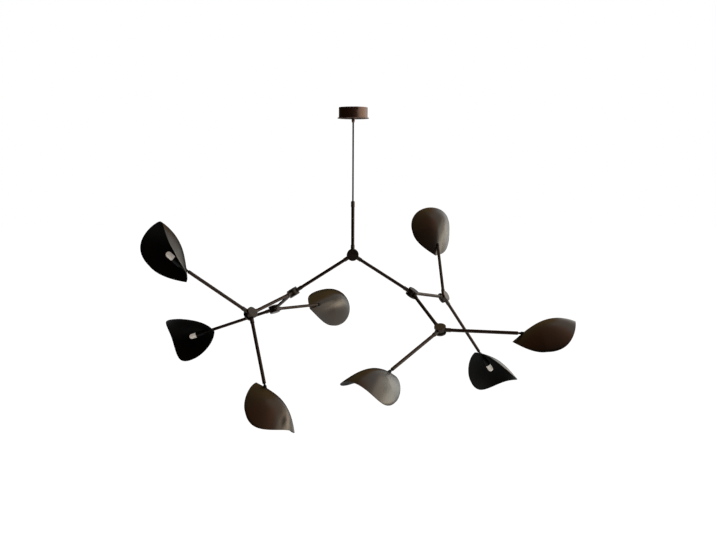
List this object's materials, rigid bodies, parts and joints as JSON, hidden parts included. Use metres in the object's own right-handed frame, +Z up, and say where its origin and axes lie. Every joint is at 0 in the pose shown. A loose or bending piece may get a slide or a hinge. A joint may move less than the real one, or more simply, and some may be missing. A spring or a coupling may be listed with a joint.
{
  "type": "pendant light",
  "caption": "Branching pendant light: a ceiling canopy and cable carry swivelling three-way hubs and thin arms that end in folded leaf shades over opal bulbs.",
  "frame": {"origin": "on the ceiling, at the centre of the canopy's mounting bracket", "axes": "+Z up into the ceiling, +X to the viewer's right in the picture, +Y away from the viewer"},
  "size_m": [1.7299, 1.3862, 1.28],
  "materials": {
    "shade_sheet": "satin bronzed coat, near black inside",
    "bronzed_tube": "satin bronzed",
    "hub_metal": "satin blackened",
    "lamp_holder": "satin black",
    "canopy_metal": "satin bronzed",
    "bracket_steel": "zinc plated",
    "terminal_plastic": "matte",
    "opal_bulb": "opal",
    "cable_sleeve": "braided"
  },
  "bodies": {
    "ceiling": {"ceiling_bracket": "bracket_steel", "canopy": "canopy_metal", "canopy_screws": "canopy_metal", "cable_gland": "canopy_metal", "terminal_block": "terminal_plastic"},
    "stem": {"suspension_cable": "cable_sleeve", "stem_cap": "hub_metal", "stem_tube": "bronzed_tube", "hub_centre": "hub_metal", "hub_centre_caps": "hub_metal", "arm_left": "bronzed_tube", "arm_right": "bronzed_tube"},
    "branch_left": {"hub_left": "hub_metal", "hub_left_caps": "hub_metal", "arm_left_front": "bronzed_tube", "arm_left_back": "bronzed_tube"},
    "branch_right": {"hub_right": "hub_metal", "hub_right_caps": "hub_metal", "arm_right_front": "bronzed_tube", "arm_right_back": "bronzed_tube"},
    "branch_left_front": {"hub_left_front": "hub_metal", "hub_left_front_caps": "hub_metal", "shade_arm_1": "bronzed_tube", "shade_arm_3": "bronzed_tube"},
    "branch_left_back": {"hub_left_back": "hub_metal", "hub_left_back_caps": "hub_metal", "shade_arm_2": "bronzed_tube", "shade_arm_4": "bronzed_tube"},
    "branch_right_front": {"hub_right_front": "hub_metal", "hub_right_front_caps": "hub_metal", "shade_arm_5": "bronzed_tube", "shade_arm_8": "bronzed_tube"},
    "branch_right_back": {"hub_right_back": "hub_metal", "hub_right_back_caps": "hub_metal", "shade_arm_6": "bronzed_tube", "shade_arm_7": "bronzed_tube"},
    "lamp_1": {"lamp_holder_1": "lamp_holder", "shade_1": "shade_sheet", "bulb_1": "opal_bulb"},
    "lamp_2": {"lamp_holder_2": "lamp_holder", "shade_2": "shade_sheet", "bulb_2": "opal_bulb"},
    "lamp_3": {"lamp_holder_3": "lamp_holder", "shade_3": "shade_sheet", "bulb_3": "opal_bulb"},
    "lamp_4": {"lamp_holder_4": "lamp_holder", "shade_4": "shade_sheet", "bulb_4": "opal_bulb"},
    "lamp_5": {"lamp_holder_5": "lamp_holder", "shade_5": "shade_sheet", "bulb_5": "opal_bulb"},
    "lamp_6": {"lamp_holder_6": "lamp_holder", "shade_6": "shade_sheet", "bulb_6": "opal_bulb"},
    "lamp_7": {"lamp_holder_7": "lamp_holder", "shade_7": "shade_sheet", "bulb_7": "opal_bulb"},
    "lamp_8": {"lamp_holder_8": "lamp_holder", "shade_8": "shade_sheet", "bulb_8": "opal_bulb"}
  },
  "joints": [
    {"name": "fixture_turn", "type": "hinge", "parent": "ceiling", "child": "stem", "pos_m": [0, 0, -0.06], "axis": [0, 0, 1], "range_deg": [-180, 180]},
    {"name": "hub_swivel_left", "type": "hinge", "parent": "stem", "child": "branch_left", "pos_m": [-0.22881, 0.00599, -0.76294], "axis": [-0.8412, 0.022, -0.5402], "range_deg": [-170, 105]},
    {"name": "hub_swivel_right", "type": "hinge", "parent": "stem", "child": "branch_right", "pos_m": [0.22958, -0.00601, -0.76175], "axis": [0.844, -0.0221, -0.5358], "range_deg": [-170, 170]},
    {"name": "hub_swivel_left_front", "type": "hinge", "parent": "branch_left", "child": "branch_left_front", "pos_m": [-0.39056, -0.2225, -0.827], "axis": [-0.5081, -0.8423, -0.1799], "range_deg": [-170, 170]},
    {"name": "hub_swivel_left_back", "type": "hinge", "parent": "branch_left", "child": "branch_left_back", "pos_m": [-0.34721, 0.24086, -0.87864], "axis": [-0.3487, 0.8612, -0.3697], "range_deg": [-170, 170]},
    {"name": "hub_swivel_right_front", "type": "hinge", "parent": "branch_right", "child": "branch_right_front", "pos_m": [0.34133, -0.2428, -0.87894], "axis": [0.324, -0.8683, -0.3757], "range_deg": [-170, 170]},
    {"name": "hub_swivel_right_back", "type": "hinge", "parent": "branch_right", "child": "branch_right_back", "pos_m": [0.39606, 0.22042, -0.82179], "axis": [0.5252, 0.8347, -0.1656], "range_deg": [-170, 170]},
    {"name": "shade_swivel_1", "type": "hinge", "parent": "branch_left_front", "child": "lamp_1", "pos_m": [-0.63209, -0.34376, -0.65367], "axis": [-0.7453, -0.3202, 0.5848], "range_deg": [-170, 170]},
    {"name": "shade_swivel_2", "type": "hinge", "parent": "branch_left_back", "child": "lamp_2", "pos_m": [-0.6442, 0.28759, -0.98906], "axis": [-0.9417, 0.0741, -0.3281], "range_deg": [-170, 170]},
    {"name": "shade_swivel_3", "type": "hinge", "parent": "branch_left_front", "child": "lamp_3", "pos_m": [-0.33425, -0.41739, -1.07433], "axis": [0.2313, -0.5616, -0.7944], "range_deg": [-170, 170]},
    {"name": "shade_swivel_4", "type": "hinge", "parent": "branch_left_back", "child": "lamp_4", "pos_m": [-0.17459, 0.50907, -0.90239], "axis": [0.598, 0.8003, -0.0439], "range_deg": [-170, 170]},
    {"name": "shade_swivel_5", "type": "hinge", "parent": "branch_right_front", "child": "lamp_5", "pos_m": [0.1527, -0.46676, -1.00812], "axis": [-0.6482, -0.6546, -0.389], "range_deg": [-170, 170]},
    {"name": "shade_swivel_6", "type": "hinge", "parent": "branch_right_back", "child": "lamp_6", "pos_m": [0.40091, 0.46854, -0.62047], "axis": [-0.0323, 0.7369, 0.6752], "range_deg": [-170, 170]},
    {"name": "shade_swivel_7", "type": "hinge", "parent": "branch_right_back", "child": "lamp_7", "pos_m": [0.57752, 0.27007, -1.08045], "axis": [0.5467, 0.0862, -0.8329], "range_deg": [-170, 170]},
    {"name": "shade_swivel_8", "type": "hinge", "parent": "branch_right_front", "child": "lamp_8", "pos_m": [0.64661, -0.3398, -0.88902], "axis": [0.9712, -0.2383, 0.0015], "range_deg": [-170, 170]}
  ]
}
